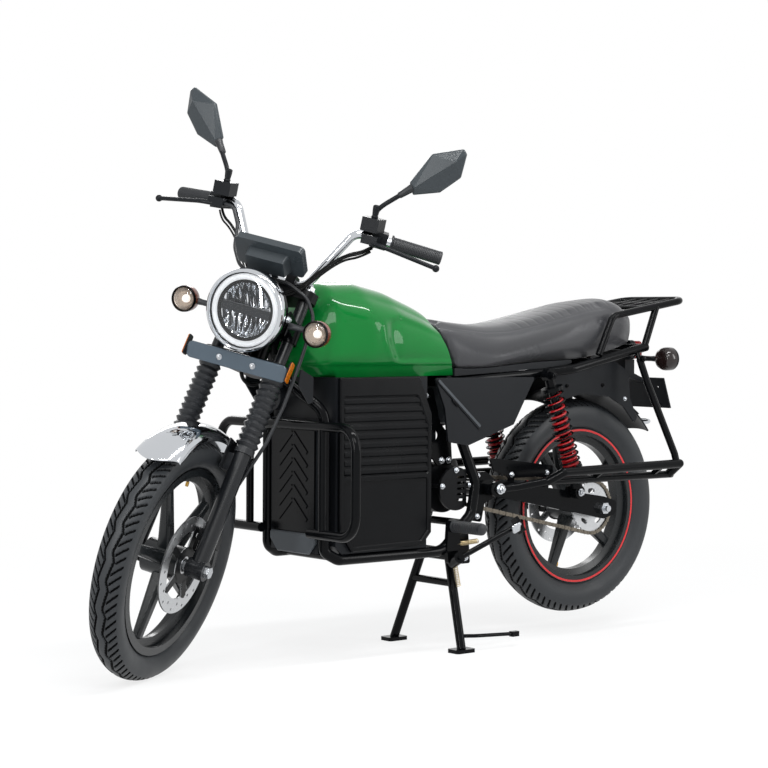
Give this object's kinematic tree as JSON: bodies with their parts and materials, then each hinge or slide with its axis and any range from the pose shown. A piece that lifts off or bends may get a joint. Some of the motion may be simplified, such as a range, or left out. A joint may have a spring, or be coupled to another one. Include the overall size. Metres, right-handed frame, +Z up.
{
  "type": "electric motorcycle",
  "caption": "Electric commuter motorcycle with a battery box in a tube cradle, chain drive, twin rear shocks, crash guard and luggage rack, parked on its centre stand with the bars turned.",
  "frame": {"origin": "on the floor in the centre plane, midway along the machine", "axes": "+X forward, +Y to the rider's left, +Z up"},
  "size_m": [1.9975, 0.7054, 1.4674],
  "materials": {
    "black_tube": "gloss",
    "battery_shell": "satin",
    "controller": "matte",
    "tank_lacquer": "gloss",
    "seat_cover": "satin",
    "satin_plastic": "satin",
    "motor_alloy": "satin",
    "bright_steel": "brushed",
    "disc_steel": "brushed",
    "spring_paint": "gloss",
    "cast_alloy": "satin",
    "fork_paint": "gloss",
    "rubber": "matte",
    "tyre": "matte",
    "chrome": "polished",
    "lamp_black": "gloss",
    "lens": "clear",
    "red_lens": "gloss",
    "amber_lens": "gloss"
  },
  "bodies": {
    "frame": {"main_frame": "black_tube", "seat_rails": "black_tube", "battery_case": "battery_shell", "battery_covers": "battery_shell", "controller_box": "controller", "tank": "tank_lacquer", "seat": "seat_cover", "side_panels": "satin_plastic", "seat_base": "satin_plastic", "skid_panel": "satin_plastic", "crash_guard": "black_tube", "motor": "motor_alloy", "motor_hanger": "black_tube", "motor_cover": "satin_plastic", "swingarm": "black_tube", "rear_axle": "bright_steel", "chain_guard": "satin_plastic", "chain": "bright_steel", "shocks": "black_tube", "shock_springs": "spring_paint", "rear_caliper": "cast_alloy", "footpegs": "rubber", "rear_mudguard": "satin_plastic", "rear_rack": "black_tube", "side_rails": "black_tube", "tail_lamp": "red_lens", "rear_indicators": "amber_lens", "plate_holder": "satin_plastic", "tail_loop": "chrome", "horn": "lamp_black", "tank_wings": "satin_plastic"},
    "steering": {"fork_legs": "fork_paint", "front_axle": "bright_steel", "fork_gaiters": "rubber", "fork_yokes": "cast_alloy", "front_fender": "chrome", "front_caliper": "cast_alloy", "headlight_shell": "lamp_black", "headlight_bezel": "chrome", "headlight_lens": "lens", "lamp_brackets": "black_tube", "front_indicators": "amber_lens", "plate_bar": "lamp_black", "front_reflectors": "amber_lens", "display": "satin_plastic", "handlebar": "chrome", "grips": "rubber", "bar_controls": "cast_alloy", "mirrors": "satin_plastic", "brake_hose": "rubber"},
    "front_wheel": {"front_rim": "cast_alloy", "front_tyre": "tyre", "front_disc": "disc_steel"},
    "rear_wheel": {"rear_rim": "cast_alloy", "rear_tyre": "tyre", "rear_disc": "disc_steel", "sprocket": "bright_steel"},
    "centre_stand": {"centre_stand": "black_tube"},
    "side_stand": {"side_stand": "black_tube"}
  },
  "joints": [
    {"name": "steering", "type": "hinge", "parent": "frame", "child": "steering", "pos_m": [0.69101, 0, 0.27486], "axis": [-0.4446, 0, 0.8957], "range_deg": [-64, 0]},
    {"name": "front_wheel", "type": "hinge", "parent": "steering", "child": "front_wheel", "pos_m": [0.72747, 0.02544, 0.29296], "axis": [-0.4747, 0.848, -0.2356], "continuous": true},
    {"name": "rear_wheel", "type": "hinge", "parent": "frame", "child": "rear_wheel", "pos_m": [-0.65, 0, 0.351], "axis": [0, 1, 0], "continuous": true},
    {"name": "centre_stand", "type": "hinge", "parent": "frame", "child": "centre_stand", "pos_m": [-0.15, 0, 0.246], "axis": [0, 1, 0], "range_deg": [0, 75]},
    {"name": "side_stand", "type": "hinge", "parent": "frame", "child": "side_stand", "pos_m": [-0.093, 0.158, 0.25], "axis": [-0.2143, -0.895, -0.3911], "range_deg": [0, 117]}
  ]
}
